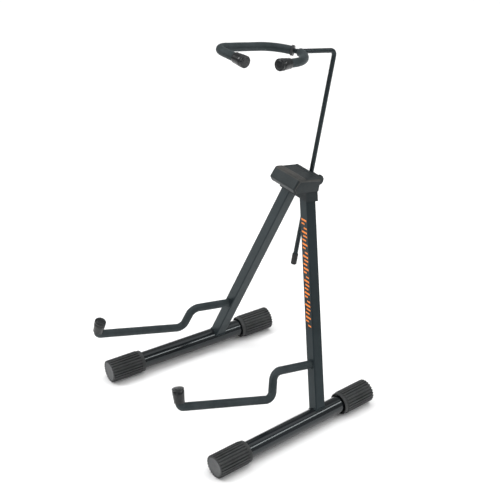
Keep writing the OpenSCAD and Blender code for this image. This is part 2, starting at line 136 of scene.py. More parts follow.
def leg_frame():
    """At the right pivot, the leg down -Z and its front face to -Y."""
    return HINGE @ shift(PIVOT_X) @ turn("Y", -SPLAY)


def foot_frame():
    """At the right leg's foot on the tube's axis, the front of the foot to -Y."""
    tube_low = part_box("right_foot_tube")[0]
    foot = leg_frame() @ Vector((0, 0, -LEG_LEN * MM))
    return Matrix.Translation((foot.x, foot.y, tube_low.z + FOOT_R * MM)) @ turn("Z", TOE_OUT)


def arm_frame():
    """At the right arm's root on the leg's front face, +Z outwards and +X down the leg."""
    root = shift(0, -LEG_W / 2, ARM_HEIGHT - LEG_LEN)
    return leg_frame() @ root @ turn("X", 90) @ turn("Z", -90 - ARM_TWIST)


def neck_frame():
    return HINGE @ shift(0, ROD_BACK, -ROD_BELOW)


def short_frame():
    return HINGE @ shift(0, ROD_BACK - YOKE_REACH, ROD_RISE) @ turn("X", 90) @ turn("Y", SHORT_START)


# ---------------------------------------------------------------- mesh helpers

def make_object(name, bm, *materials):
    mesh = bpy.data.meshes.new(name)
    bm.to_mesh(mesh)
    bm.free()
    for material in materials:
        mesh.materials.append(material)
    made = bpy.data.objects.new(name, mesh)
    bpy.context.scene.collection.objects.link(made)
    return made


def smooth(piece, angle):
    mesh = piece.data
    mesh.polygons.foreach_set("use_smooth", [True] * len(mesh.polygons))
    mesh.set_sharp_from_angle(angle=math.radians(angle))
    return piece


def baked(piece):
    """The piece with its modifiers turned into plain mesh."""
    graph = bpy.context.evaluated_depsgraph_get()
    mesh = bpy.data.meshes.new_from_object(piece.evaluated_get(graph))
    piece.modifiers.clear()
    piece.data = mesh
    return piece


def hand_over(piece, body, slot_name, *nodes):
    """The piece rides on a body and stands for the CAD nodes named; its slot_name is not used."""
    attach(piece, body)
    if nodes:
        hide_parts(*nodes)
    return piece


# ---------------------------------------------------------------- bent bars

class Station:
    """A place along a bar: its centre, its direction, the inside of its bend and the way so far."""

    def __init__(self, centre, along, inside, bend_r, way):
        self.centre = centre
        self.along = along
        self.inside = inside
        self.bend_r = bend_r
        self.way = way


def stations(start, steps, pitch, first=0):
    """Stations a pitch apart along a bent bar that starts on the frame's origin and runs to +Z.

    Steps before the first one named are passed over.
    """
    place = start.copy()
    found = []
    way = 0.0

    def add(matrix, bend_r, step):
        if step < first:
            return
        centre = matrix.translation.copy()
        if found and (found[-1].centre - centre).length < 1e-6:
            return
        axes = matrix.to_3x3()
        found.append(Station(centre, axes.col[2].normalized(), axes.col[0].normalized(), bend_r, way))

    for step, (run, bend_r, angle, roll) in enumerate(steps):
        place = place @ turn("Z", roll)
        if run > 0:
            cuts = max(1, round(run / pitch))
            for i in range(cuts + 1):
                add(place @ shift(0, 0, run * i / cuts), 0.0, step)
                way += run / cuts * (i < cuts)
            place = place @ shift(0, 0, run)
        if angle > 0:
            arc = math.radians(angle) * bend_r
            cuts = max(6, round(arc / pitch))
            for i in range(cuts + 1):
                part = angle * i / cuts
                t = math.radians(part)
                add(
                    place @ shift(bend_r * (1 - math.cos(t)), 0, bend_r * math.sin(t)) @ turn("Y", part),
                    bend_r, step,
                )
                way += arc / cuts * (i < cuts)
            t = math.radians(angle)
            place = place @ shift(bend_r * (1 - math.cos(t)), 0, bend_r * math.sin(t)) @ turn("Y", angle)
    return found, place


def mirror_stations(found):
    flip = Matrix.Diagonal((-1, 1, 1))
    return [Station(flip @ s.centre, flip @ s.along, flip @ s.inside, s.bend_r, s.way) for s in found]


def sweep(found, angles, radius_at, round_ends=0.0):
    """Closed tube along the stations. radius_at(station, angle, side vector) is in metres."""
    bm = bmesh.new()
    side = found[0].along.orthogonal().normalized()
    rings = []
    before = found[0].along
    count = len(found)
    for i, s in enumerate(found):
        side = before.rotation_difference(s.along) @ side
        side = (side - s.along * side.dot(s.along)).normalized()
        before = s.along
        up = s.along.cross(side)
        ring = []
        edge = 0.0
        if round_ends and i in (0, count - 1):
            edge = round_ends
        for a in angles:
            out = side * math.cos(a) + up * math.sin(a)
            ring.append(bm.verts.new(s.centre + out * (radius_at(s, a, out) - edge)))
        rings.append(ring)
    sides = len(angles)
    for low, high in zip(rings, rings[1:]):
        for k in range(sides):
            n = (k + 1) % sides
            bm.faces.new((low[k], low[n], high[n], high[k]))
    for ring, s, way in ((rings[0], found[0], -1), (rings[-1], found[-1], 1)):
        inner = [bm.verts.new(s.centre + (v.co - s.centre) * 0.6) for v in ring]
        middle = bm.verts.new(s.centre)
        for k in range(sides):
            n = (k + 1) % sides
            quad = (ring[k], ring[n], inner[n], inner[k])
            tri = (inner[k], inner[n], middle)
            bm.faces.new(quad if way > 0 else tuple(reversed(quad)))
            bm.faces.new(tri if way > 0 else tuple(reversed(tri)))
    return bm


def even_angles(count):
    return [2 * math.pi * i / count for i in range(count)]


def seam_angles(count, at, radius):
    """Even angles round a sleeve, with close ones across the slit so that it has an edge."""
    half_width = 0.9
    close = [at + d / radius for d in (-half_width, -0.45, -0.22, 0.0, 0.22, 0.45, half_width)]
    spare = half_width / radius * 1.4
    others = [
        a for a in even_angles(count)
        if abs((a - at + math.pi) % (2 * math.pi) - math.pi) > spare
    ]
    return sorted((a % (2 * math.pi)) for a in others + close)


def foam_sleeve(name, found, material, seam_at):
    """Foam tube: slightly uneven, creased on the inside of tight bends, with a closed slit along it."""
    slit = math.radians(seam_at)
    tight_bend = 30
    crease_pitch = 3.1
    slit_depth, slit_width = 0.42, 0.22

    def radius(s, a, out):
        r = FOAM_R - 0.1
        r += 0.10 * noise.noise(s.centre * 55 + Vector((SEED, 0, 0)))
        r += 0.05 * noise.noise(s.centre * 400 + out * 2.2)
        if 0 < s.bend_r < tight_bend:
            inner = max(0.0, out.dot(s.inside))
            r -= 0.30 * inner ** 3 * (0.5 + 0.5 * math.cos(s.way * 2 * math.pi / crease_pitch))
            r -= 0.12 * inner
        off = ((a - slit + math.pi) % (2 * math.pi) - math.pi) * FOAM_R
        r -= slit_depth * math.exp(-(off / slit_width) ** 2)
        return r * MM

    bm = sweep(found, seam_angles(44, slit, FOAM_R), radius, round_ends=0.8 * MM)
    return smooth(make_object(name, bm, material), 50)


def steel_bar(name, found, material):
    bm = sweep(found, even_angles(32), lambda s, a, out: ROD_R * MM, round_ends=0.5 * MM)
    return smooth(make_object(name, bm, material), 50)


# ---------------------------------------------------------------- turned parts

def turned(profile, segments, place, material_at=None):
    """Closed solid of revolution about +Z from points (radius, height) that start and end on the axis."""
    bm = bmesh.new()
    rows = []
    for r, z in profile:
        if r <= 1e-9:
            rows.append([bm.verts.new(place @ Vector((0, 0, z * MM)))])
            continue
        rows.append([
            bm.verts.new(place @ (Vector((r * math.cos(a), r * math.sin(a), z)) * MM))
            for a in even_angles(segments)
        ])
    for i, (low, high) in enumerate(zip(rows, rows[1:])):
        for k in range(segments):
            n = (k + 1) % segments
            corners = [low[k % len(low)], low[n % len(low)], high[n % len(high)], high[k % len(high)]]
            unique = list(dict.fromkeys(corners))
            face = bm.faces.new(unique)
            if material_at:
                face.material_index = material_at(i)
    bmesh.ops.recalc_face_normals(bm, faces=bm.faces)
    return bm


def arc(cx, cz, r, start, end, cuts=5):
    """Points of a rounded corner in a turned profile."""
    return [
        (cx + r * math.cos(math.radians(start + (end - start) * i / cuts)),
         cz + r * math.sin(math.radians(start + (end - start) * i / cuts)))
        for i in range(cuts + 1)
    ]


def end_cap(name, place, material):
    """Dipped vinyl cap along +Z from its mouth: rolled lip, a ring near the end and a raised disc."""
    r, length = END_CAP_R, END_CAP_LEN
    bore = FOAM_R + 0.05
    mouth = 1.1
    ring_z = length - 3.6
    profile = [(0, length - END_CAP_WALL - 0.1), (bore, length - END_CAP_WALL - 0.1)]
    profile += arc(bore + mouth, mouth, mouth, 180, 270, 5)
    profile += arc(r - mouth - 1.15, mouth, mouth, 270, 360, 5)
    profile += [(r - 1.1, 4.0), (r - 0.75, 9.0), (r - 0.25, 15.0), (r - 0.04, ring_z - 0.7)]
    profile += [(r - 0.5, ring_z - 0.35), (r - 0.62, ring_z), (r - 0.5, ring_z + 0.35)]
    profile += [(r - 0.04, ring_z + 0.7)]
    profile += arc(r - 1.5 - 0.04, length - 1.5 - 0.25, 1.5, 0, 90, 6)
    profile += [(r - 2.6, length - 0.32), (r - 3.0, length - 0.45), (r - 3.4, length - 0.12)]
    profile += [(r - 4.2, length), (r * 0.25, length), (0, length)]
    bm = turned(profile, 64, place)
    return smooth(make_object(name, bm, material), 55)


# ---------------------------------------------------------------- geometry node trees

def new_tree(name, inputs):
    tree = bpy.data.node_groups.new(name, "GeometryNodeTree")
    tree.interface.new_socket("Geometry", in_out="INPUT", socket_type="NodeSocketGeometry")
    tree.interface.new_socket("Geometry", in_out="OUTPUT", socket_type="NodeSocketGeometry")
    for label, kind, value in inputs:
        socket = tree.interface.new_socket(label, in_out="INPUT", socket_type=kind)
        if value is not None:
            socket.default_value = value
    return tree


def node(tree, kind, **settings):
    made = tree.nodes.new(kind)
    for key, value in settings.items():
        setattr(made, key, value)
    return made


def set_input(modifier, label, value):
    """Sets a modifier's input by the identifier of its socket."""
    for item in modifier.node_group.interface.items_tree:
        if item.item_type == "SOCKET" and item.in_out == "INPUT" and item.name == label:
            modifier[item.identifier] = value
            return
    raise ValueError(label)


def math_node(tree, operation, a, b=None):
    made = node(tree, "ShaderNodeMath", operation=operation)
    for i, value in enumerate((a, b)):
        if value is None:
            continue
        if isinstance(value, (int, float)):
            made.inputs[i].default_value = value
        else:
            tree.links.new(value, made.inputs[i])
    return made.outputs[0]


def rib_ring_tree():
    """Copies of the mesh it is on, stood in a ring about +Z."""
    tree = new_tree("rib_ring", [
        ("Count", "NodeSocketInt", CAP_RIBS), ("Ring Radius", "NodeSocketFloat", 0.02),
        ("Material", "NodeSocketMaterial", None),
    ])
    ins = node(tree, "NodeGroupInput")
    points = node(tree, "GeometryNodePoints")
    tree.links.new(ins.outputs["Count"], points.inputs["Count"])
    index = node(tree, "GeometryNodeInputIndex")
    share = math_node(tree, "DIVIDE", index.outputs[0], ins.outputs["Count"])
    angle = math_node(tree, "MULTIPLY", share, 2 * math.pi)
    place = node(tree, "ShaderNodeCombineXYZ")
    ring = ins.outputs["Ring Radius"]
    tree.links.new(math_node(tree, "MULTIPLY", math_node(tree, "COSINE", angle), ring), place.inputs["X"])
    tree.links.new(math_node(tree, "MULTIPLY", math_node(tree, "SINE", angle), ring), place.inputs["Y"])
    tree.links.new(place.outputs[0], points.inputs["Position"])
    spin = node(tree, "ShaderNodeCombineXYZ")
    tree.links.new(angle, spin.inputs["Z"])
    copies = node(tree, "GeometryNodeInstanceOnPoints")
    tree.links.new(points.outputs[0], copies.inputs["Points"])
    tree.links.new(ins.outputs["Geometry"], copies.inputs["Instance"])
    tree.links.new(spin.outputs[0], copies.inputs["Rotation"])
    real = node(tree, "GeometryNodeRealizeInstances")
    paint = node(tree, "GeometryNodeSetMaterial")
    out = node(tree, "NodeGroupOutput")
    tree.links.new(copies.outputs[0], real.inputs[0])
    tree.links.new(real.outputs[0], paint.inputs["Geometry"])
    tree.links.new(ins.outputs["Material"], paint.inputs["Material"])
    tree.links.new(paint.outputs[0], out.inputs[0])
    return tree


def weld_tree():
    """Overlapping ripples of weld metal along the edges of the mesh that it is on."""
    tree = new_tree("weld_ripples", [
        ("Bead Radius", "NodeSocketFloat", 0.0018), ("Pitch", "NodeSocketFloat", 0.0013),
        ("Unevenness", "NodeSocketFloat", 0.16), ("Seed", "NodeSocketInt", SEED),
        ("Material", "NodeSocketMaterial", None),
    ])
    ins = node(tree, "NodeGroupInput")
    path = node(tree, "GeometryNodeMeshToCurve")
    tree.links.new(ins.outputs["Geometry"], path.inputs["Mesh"])
    spread = node(tree, "GeometryNodeResampleCurve", mode="LENGTH")
    tree.links.new(path.outputs[0], spread.inputs["Curve"])
    tree.links.new(ins.outputs["Pitch"], spread.inputs["Length"])
    bead = node(tree, "GeometryNodeMeshUVSphere")
    bead.inputs["Segments"].default_value = 14
    bead.inputs["Rings"].default_value = 8
    tree.links.new(ins.outputs["Bead Radius"], bead.inputs["Radius"])
    squeeze = node(tree, "GeometryNodeTransform")
    squeeze.inputs["Scale"].default_value = (1.0, 1.0, 0.62)
    tree.links.new(bead.outputs["Mesh"], squeeze.inputs["Geometry"])
    rounded = node(tree, "GeometryNodeSetShadeSmooth")
    tree.links.new(squeeze.outputs[0], rounded.inputs["Geometry"])
    tangent = node(tree, "GeometryNodeInputTangent")
    aim = node(tree, "FunctionNodeAlignEulerToVector", axis="Z")
    tree.links.new(tangent.outputs[0], aim.inputs["Vector"])
    vary = node(tree, "FunctionNodeRandomValue", data_type="FLOAT")
    low = math_node(tree, "SUBTRACT", 1.0, ins.outputs["Unevenness"])
    tree.links.new(low, vary.inputs[2])
    vary.inputs[3].default_value = 1.0
    tree.links.new(ins.outputs["Seed"], vary.inputs["Seed"])
    copies = node(tree, "GeometryNodeInstanceOnPoints")
    tree.links.new(spread.outputs[0], copies.inputs["Points"])
    tree.links.new(rounded.outputs[0], copies.inputs["Instance"])
    tree.links.new(aim.outputs[0], copies.inputs["Rotation"])
    tree.links.new(vary.outputs[1], copies.inputs["Scale"])
    real = node(tree, "GeometryNodeRealizeInstances")
    paint = node(tree, "GeometryNodeSetMaterial")
    out = node(tree, "NodeGroupOutput")
    tree.links.new(copies.outputs[0], real.inputs[0])
    tree.links.new(real.outputs[0], paint.inputs["Geometry"])
    tree.links.new(ins.outputs["Material"], paint.inputs["Material"])
    tree.links.new(paint.outputs[0], out.inputs[0])
    return tree


# ---------------------------------------------------------------- materials

def new_material(name):
    material = bpy.data.materials.new(name)
    material.use_nodes = True
    shader = material.node_tree.nodes["Principled BSDF"]
    place = material.node_tree.nodes.new("ShaderNodeTexCoord")
    return material, material.node_tree, shader, place.outputs["Object"]


def noise_tex(tree, coords, scale, detail=3.0, rough=0.55):
    made = node(tree, "ShaderNodeTexNoise")
    made.inputs["Scale"].default_value = scale
    made.inputs["Detail"].default_value = detail
    made.inputs["Roughness"].default_value = rough
    tree.links.new(coords, made.inputs["Vector"])
    return made.outputs["Fac"]


def between(tree, factor, low, high, a=0.3, b=0.7):
    """Colour or grey that runs from low to high as the factor runs from a to b."""
    made = node(tree, "ShaderNodeValToRGB")
    made.color_ramp.elements[0].position = a
    made.color_ramp.elements[1].position = b
    made.color_ramp.elements[0].color = low if len(low) == 4 else (*low, 1)
    made.color_ramp.elements[1].color = high if len(high) == 4 else (*high, 1)
    tree.links.new(factor, made.inputs["Fac"])
    return made.outputs["Color"]


def grey(value):
    return (value, value, value)


def bump(tree, shader, height, strength, distance, after=None):
    made = node(tree, "ShaderNodeBump")
    made.inputs["Strength"].default_value = strength
    made.inputs["Distance"].default_value = distance
    tree.links.new(height, made.inputs["Height"])
    if after is not None:
        tree.links.new(after, made.inputs["Normal"])
    tree.links.new(made.outputs["Normal"], shader.inputs["Normal"])
    return made.outputs["Normal"]


def powder_coat(name, dark, light, rough, peel=0.25):
    """Black baked coat: fine orange peel, slow drift of shade and faint handling marks."""
    material, tree, shader, at = new_material(name)
    drift = noise_tex(tree, at, 14, 4)
    tree.links.new(between(tree, drift, dark, light), shader.inputs["Base Color"])
    marks = noise_tex(tree, at, 60, 5, 0.7)
    tree.links.new(between(tree, marks, grey(rough - 0.06), grey(rough + 0.07)), shader.inputs["Roughness"])
    first = bump(tree, shader, noise_tex(tree, at, 1500, 2), peel, 0.00006)
    bump(tree, shader, noise_tex(tree, at, 120, 2), 0.10, 0.0002, first)
    shader.inputs["Specular IOR Level"].default_value = 0.36
    shader.inputs["Specular Tint"].default_value = (0.70, 0.88, 0.92, 1)
    return material


def gloss_paint(name):
    """Smooth gloss enamel with a clear top and the faintest waviness."""
    material, tree, shader, at = new_material(name)
    drift = noise_tex(tree, at, 9, 3)
    shade = between(tree, drift, (0.004, 0.005, 0.006), (0.009, 0.011, 0.013))
    tree.links.new(shade, shader.inputs["Base Color"])
    marks = noise_tex(tree, at, 80, 4, 0.7)
    tree.links.new(between(tree, marks, grey(0.12), grey(0.16)), shader.inputs["Roughness"])
    bump(tree, shader, noise_tex(tree, at, 60, 1), 0.03, 0.0002)
    shader.inputs["Specular IOR Level"].default_value = 0.34
    shader.inputs["Specular Tint"].default_value = (0.80, 0.90, 0.92, 1)
    shader.inputs["Coat Weight"].default_value = 0.35
    shader.inputs["Coat Roughness"].default_value = 0.10
    return material


def moulded_rubber(name, dark, light, rough):
    """Matt rubber with a fine grain and mould bloom."""
    material, tree, shader, at = new_material(name)
    bloom = noise_tex(tree, at, 35, 6, 0.65)
    tree.links.new(between(tree, bloom, dark, light, 0.35, 0.72), shader.inputs["Base Color"])
    tree.links.new(
        between(tree, noise_tex(tree, at, 300, 3), grey(rough - 0.08), grey(rough + 0.08)),
        shader.inputs["Roughness"],
    )
    first = bump(tree, shader, noise_tex(tree, at, 1800, 2), 0.35, 0.00008)
    bump(tree, shader, noise_tex(tree, at, 260, 3), 0.12, 0.0002, first)
    shader.inputs["Specular IOR Level"].default_value = 0.38
    return material


def closed_cell_foam(name):
    """Soft foam: tiny cells, a broad mottling and a velvety edge."""
    material, tree, shader, at = new_material(name)
    cells = node(tree, "ShaderNodeTexVoronoi", feature="F1")
    cells.inputs["Scale"].default_value = 1400
    tree.links.new(at, cells.inputs["Vector"])
    mottle = noise_tex(tree, at, 45, 5, 0.6)
    shade = between(tree, mottle, (0.011, 0.015, 0.016), (0.027, 0.032, 0.035))
    tree.links.new(shade, shader.inputs["Base Color"])
    shader.inputs["Roughness"].default_value = 0.62
    first = bump(tree, shader, cells.outputs["Distance"], 0.35, 0.00012)
    bump(tree, shader, noise_tex(tree, at, 500, 3), 0.25, 0.00012, first)
    shader.inputs["Sheen Weight"].default_value = 0.05
    shader.inputs["Sheen Roughness"].default_value = 0.45
    shader.inputs["Sheen Tint"].default_value = (0.72, 0.88, 0.92, 1)
    shader.inputs["Specular IOR Level"].default_value = 0.40
    shader.inputs["Specular Tint"].default_value = (0.74, 0.90, 0.94, 1)
    return material


def dipped_vinyl(name):
    """Glossy vinyl with soft runs and a few dull patches."""
    material, tree, shader, at = new_material(name)
    tree.links.new(
        between(tree, noise_tex(tree, at, 40, 4), (0.004, 0.005, 0.006), (0.010, 0.012, 0.013)),
        shader.inputs["Base Color"],
    )
    runs = between(tree, noise_tex(tree, at, 130, 4, 0.7), grey(0.20), grey(0.36))
    tree.links.new(runs, shader.inputs["Roughness"])
    bump(tree, shader, noise_tex(tree, at, 160, 3), 0.14, 0.0003)
    shader.inputs["Specular IOR Level"].default_value = 0.34
    shader.inputs["Coat Weight"].default_value = 0.2
    shader.inputs["Coat Roughness"].default_value = 0.16
    return material


def grained_plastic(name, dark, light, rough):
    """Moulded plastic with a spark-eroded grain."""
    material, tree, shader, at = new_material(name)
    tree.links.new(
        between(tree, noise_tex(tree, at, 28, 5, 0.6), dark, light), shader.inputs["Base Color"],
    )
    tree.links.new(
        between(tree, noise_tex(tree, at, 240, 3), grey(rough - 0.06), grey(rough + 0.08)),
        shader.inputs["Roughness"],
    )
    grain = node(tree, "ShaderNodeTexVoronoi", feature="SMOOTH_F1")
    grain.inputs["Scale"].default_value = 1100
    tree.links.new(at, grain.inputs["Vector"])
    first = bump(tree, shader, grain.outputs["Distance"], 0.35, 0.00010)
    bump(tree, shader, noise_tex(tree, at, 2400, 2), 0.2, 0.00006, first)
    shader.inputs["Specular IOR Level"].default_value = 0.36
    shader.inputs["Specular Tint"].default_value = (0.82, 0.90, 0.92, 1)
    return material


def zinc_plate(name):
    """Bright zinc with turning marks and slight tarnish."""
    material, tree, shader, at = new_material(name)
    tree.links.new(
        between(tree, noise_tex(tree, at, 160, 4), (0.42, 0.43, 0.45), (0.62, 0.63, 0.65)),
        shader.inputs["Base Color"],
    )
    shader.inputs["Metallic"].default_value = 1.0
    tree.links.new(
        between(tree, noise_tex(tree, at, 700, 3), grey(0.24), grey(0.42)), shader.inputs["Roughness"],
    )
    bump(tree, shader, noise_tex(tree, at, 1600, 2), 0.2, 0.00005)
    return material


def printed_ink(name, colour):
    """Screen-printed ink on the coat, a little thin in places."""
    material, tree, shader, at = new_material(name)
    thin = tuple(c * 0.72 for c in colour)
    wear = between(tree, noise_tex(tree, at, 420, 4, 0.7), thin, colour, 0.2, 0.5)
    tree.links.new(wear, shader.inputs["Base Color"])
    shader.inputs["Roughness"].default_value = 0.42
    bump(tree, shader, noise_tex(tree, at, 1500, 2), 0.15, 0.00005)
    return material


SATIN = powder_coat("satin_coat", (0.009, 0.013, 0.015), (0.016, 0.021, 0.024), 0.34)
ROD_COAT = powder_coat("rod_coat", (0.006, 0.008, 0.010), (0.012, 0.015, 0.017), 0.28, 0.15)
GLOSS = gloss_paint("foot_gloss")
RUBBER = moulded_rubber("cap_rubber", (0.022, 0.024, 0.024), (0.050, 0.052, 0.053), 0.54)
DISC = moulded_rubber("cap_disc", (0.075, 0.078, 0.080), (0.110, 0.113, 0.115), 0.60)
TIP_RUBBER = moulded_rubber("tip_rubber", (0.014, 0.014, 0.015), (0.028, 0.028, 0.029), 0.55)
FOAM = closed_cell_foam("sleeve_foam")
VINYL = dipped_vinyl("cap_vinyl")
PLASTIC = grained_plastic("housing_plastic", (0.008, 0.012, 0.014), (0.018, 0.022, 0.024), 0.48)
COVER_PLASTIC = grained_plastic("cover_plastic", (0.011, 0.014, 0.015), (0.021, 0.025, 0.026), 0.44)
# Lighter copy of the cover plastic: a painted highlight on the ridge band and the raised side borders,
# where they face the light.
PAINTED_HIGHLIGHT_PLASTIC = grained_plastic("painted_highlight_plastic", (0.030, 0.030, 0.029), (0.058, 0.055, 0.050), 0.42)
BUSH = grained_plastic("bush_plastic", (0.014, 0.014, 0.015), (0.024, 0.024, 0.025), 0.38)
ZINC = zinc_plate("zinc_plate")
INK = printed_ink("orange_ink", (0.95, 0.25, 0.02))

NODE_FINISH = {
    SATIN: ["left_leg_tube", "right_leg_tube", "left_arm_rod", "right_arm_rod", "yoke_branch"],
    GLOSS: ["left_foot_tube", "right_foot_tube"],
    PLASTIC: ["hinge_housing", "clamp_knob"],
    BUSH: ["swivel_bush", "left_pivot_bushes", "right_pivot_bushes", "yoke_collar"],
    TIP_RUBBER: ["rod_tip"],
    ZINC: ["cover_screws", "pivot_bolts", "pivot_nuts", "pivot_washers", "clamp_bolt", "bush_clip"],
}


def finish_nodes():
    for material, names in NODE_FINISH.items():
        for name in names:
            slots = frame["nodes"][name].data.materials
            slots.clear()
            slots.append(material)


# ---------------------------------------------------------------- feet

def rib_mesh():
    """One rubber rib along +Z with round shoulders and a round outer end, on the axis' +X side."""
    start = 0.3
    length = CAP_LEN - CAP_COLLAR - start
    root = 0.5
    shoulder = 0.5
    sections = [
        (start, 0.70, 0.62), (start + 0.3, 0.88, 0.86), (start + 0.8, 0.96, 0.96), (start + 1.6, 1.0, 1.0),
        (start + length - 0.6, 1.0, 1.0), (start + length + 0.5, 1.0, 0.9),
    ]
    bm = bmesh.new()
    rings = []
    for z, wide, high in sections:
        half = RIB_W / 2 * wide
        top = GROOVE * high
        outline = [(-root, -half * 1.12), (0.0, -half * 1.05), (top - shoulder, -half)]
        outline += [
            (top - shoulder * (1 - math.sin(t)), -half + shoulder * (1 - math.cos(t)))
            for t in (math.pi / 6, math.pi / 3, math.pi / 2)
        ]
        outline += [(x, -y) for x, y in reversed(outline)]
        rings.append([bm.verts.new(Vector((x, y, z)) * MM) for x, y in outline])
    for low, high in zip(rings, rings[1:]):
        for k in range(len(low)):
            n = (k + 1) % len(low)
            bm.faces.new((low[k], low[n], high[n], high[k]))
    bm.faces.new(rings[0])
    bm.faces.new(rings[-1])
    bmesh.ops.remove_doubles(bm, verts=bm.verts, dist=1e-7)
    bmesh.ops.recalc_face_normals(bm, faces=bm.faces)
    return bm


def cap_core(place):
    """Body of a cap along +Z from its outer face: flat disc, round rim, smooth collar and open mouth."""
    core = CAP_R - GROOVE
    collar = CAP_R - RIB_H / 2
    collar_z = CAP_LEN - CAP_COLLAR
    bore = FOOT_R + 0.05
    mouth = FOOT_R + 2.3
    disc = core - 1.9
    profile = [(0, 0.25), (disc * 0.5, 0.25), (disc - 0.4, 0.25), (disc, 0.05)]
    profile += [(disc + 0.5, 0.0)] + arc(core - 1.2, 1.2, 1.2, 270, 360, 5)
    profile += [(core, collar_z * 0.4), (core, collar_z - 0.9)]
    profile += [(core + 0.12, collar_z - 0.35), (collar - 0.3, collar_z), (collar, collar_z + 0.5)]
    profile += [(collar, CAP_LEN - 1.2)] + arc(collar - 1.0, CAP_LEN - 1.0, 1.0, 0, 90, 4)
    profile += [(mouth + 0.5, CAP_LEN), (mouth, CAP_LEN - 0.5), (mouth - 0.1, CAP_LEN - 3.6)]
    profile += [(bore, CAP_LEN - 4.2), (bore, FACE_T), (0, FACE_T)]
    disc_rows = 3
    return turned(profile, 96, place, lambda i: 1 if i < disc_rows else 0)


def foot_cap(name, place, tree):
    """A whole cap: its body, and its ribs copied round it by the geometry nodes."""
    ribs = make_object(name + "_ribs", rib_mesh(), RUBBER)
    modifier = ribs.modifiers.new("ribs", "NODES")
    modifier.node_group = tree
    set_input(modifier, "Count", CAP_RIBS)
    set_input(modifier, "Ring Radius", (CAP_R - GROOVE) * MM)
    set_input(modifier, "Material", RUBBER)
    baked(ribs)
    ribs.data.transform(place)
    cap = make_object(name, cap_core(place), RUBBER, DISC)
    joined = bmesh.new()
    joined.from_mesh(cap.data)
    joined.from_mesh(ribs.data)
    joined.to_mesh(cap.data)
    joined.free()
    bpy.data.objects.remove(ribs)
    return smooth(cap, 38)


def cap_place(side, front):
    """Frame of a cap with +Z along the foot from the cap's outer face, a rib turned to the floor."""
    foot = foot_frame()
    far = -FOOT_FRONT if front else FOOT_REAR
    point = foot @ Vector((0, far * MM, 0))
    along = (foot.to_3x3() @ Vector((0, 1 if front else -1, 0))).normalized()
    if side < 0:
        point.x, along.x = -point.x, -along.x
    down = Vector((0, 0, -1))
    across = along.cross(down)
    turned_to = Matrix((down, across, along)).transposed().to_4x4()
    return Matrix.Translation(point) @ turned_to


def make_foot_caps():
    tree = rib_ring_tree()
    for side, name in ((-1, "left"), (1, "right")):
        for front, end in ((True, "front"), (False, "rear")):
            cap = foot_cap(f"{name}_{end}_ribbed_cap", cap_place(side, front), tree)
            hand_over(cap, name + "_leg", "cap_rubber", f"{name}_{end}_cap")


# ---------------------------------------------------------------- arms, neck and yoke

def cap_matrix(found):
    """Frame of an end cap that closes over the last station, +Z outwards."""
    last = found[-1]
    start = last.centre + last.along * (END_CAP_WALL + 0.02 - END_CAP_LEN) * MM
    return Matrix.Translation(start) @ last.along.to_track_quat("Z", "Y").to_matrix().to_4x4()


def make_arms():
    found, _ = stations(arm_frame(), ARM_STEPS, 1.3)
    for side, name in ((-1, "left"), (1, "right")):
        line = found if side > 0 else mirror_stations(found)
        foam = foam_sleeve(name + "_arm_foam", line, FOAM, 200 if side > 0 else 340)
        hand_over(foam, name + "_leg", "foam", name + "_arm_sleeve")
        cap = end_cap(name + "_arm_vinyl_cap", cap_matrix(line), VINYL)
        hand_over(cap, name + "_leg", "end_cap_vinyl", name + "_arm_cap")


def make_yoke():
    bar, _ = stations(neck_frame(), NECK_STEPS, 1.6)
    rod = steel_bar("neck_bar", bar, ROD_COAT)
    hand_over(rod, "neck", "steel_black", "neck_rod")
    long_side, _ = stations(neck_frame(), NECK_STEPS, 1.3, first=3)
    foam = foam_sleeve("yoke_long_foam", long_side, FOAM, 60)
    hand_over(foam, "neck", "foam", "yoke_long_sleeve")
    cap = end_cap("yoke_long_vinyl_cap", cap_matrix(long_side), VINYL)
    hand_over(cap, "neck", "end_cap_vinyl", "yoke_long_cap")
    short_side, _ = stations(short_frame(), SHORT_STEPS, 1.3, first=1)
    foam = foam_sleeve("yoke_short_foam", short_side, FOAM, 150)
    hand_over(foam, "neck", "foam", "yoke_short_sleeve")
    cap = end_cap("yoke_short_vinyl_cap", cap_matrix(short_side), VINYL)
    hand_over(cap, "neck", "end_cap_vinyl", "yoke_short_cap")


# ---------------------------------------------------------------- welds

def loop_object(name, points):
    """Closed line of edges through the points."""
    bm = bmesh.new()
    verts = [bm.verts.new(p) for p in points]
    for a, b in zip(verts, verts[1:] + verts[:1]):
        bm.edges.new((a, b))
    return make_object(name, bm)


def weld(name, points, tree, bead, body, material):
    """Bead of weld metal along a closed line, in the finish of the steel round it."""
    piece = loop_object(name, points)
    modifier = piece.modifiers.new("ripples", "NODES")
    modifier.node_group = tree
    set_input(modifier, "Bead Radius", bead * MM)
    set_input(modifier, "Pitch", bead * 0.72 * MM)
    set_input(modifier, "Unevenness", 0.14)
    set_input(modifier, "Seed", SEED)
    set_input(modifier, "Material", material)
    baked(piece)
    return hand_over(piece, body, "steel_black")


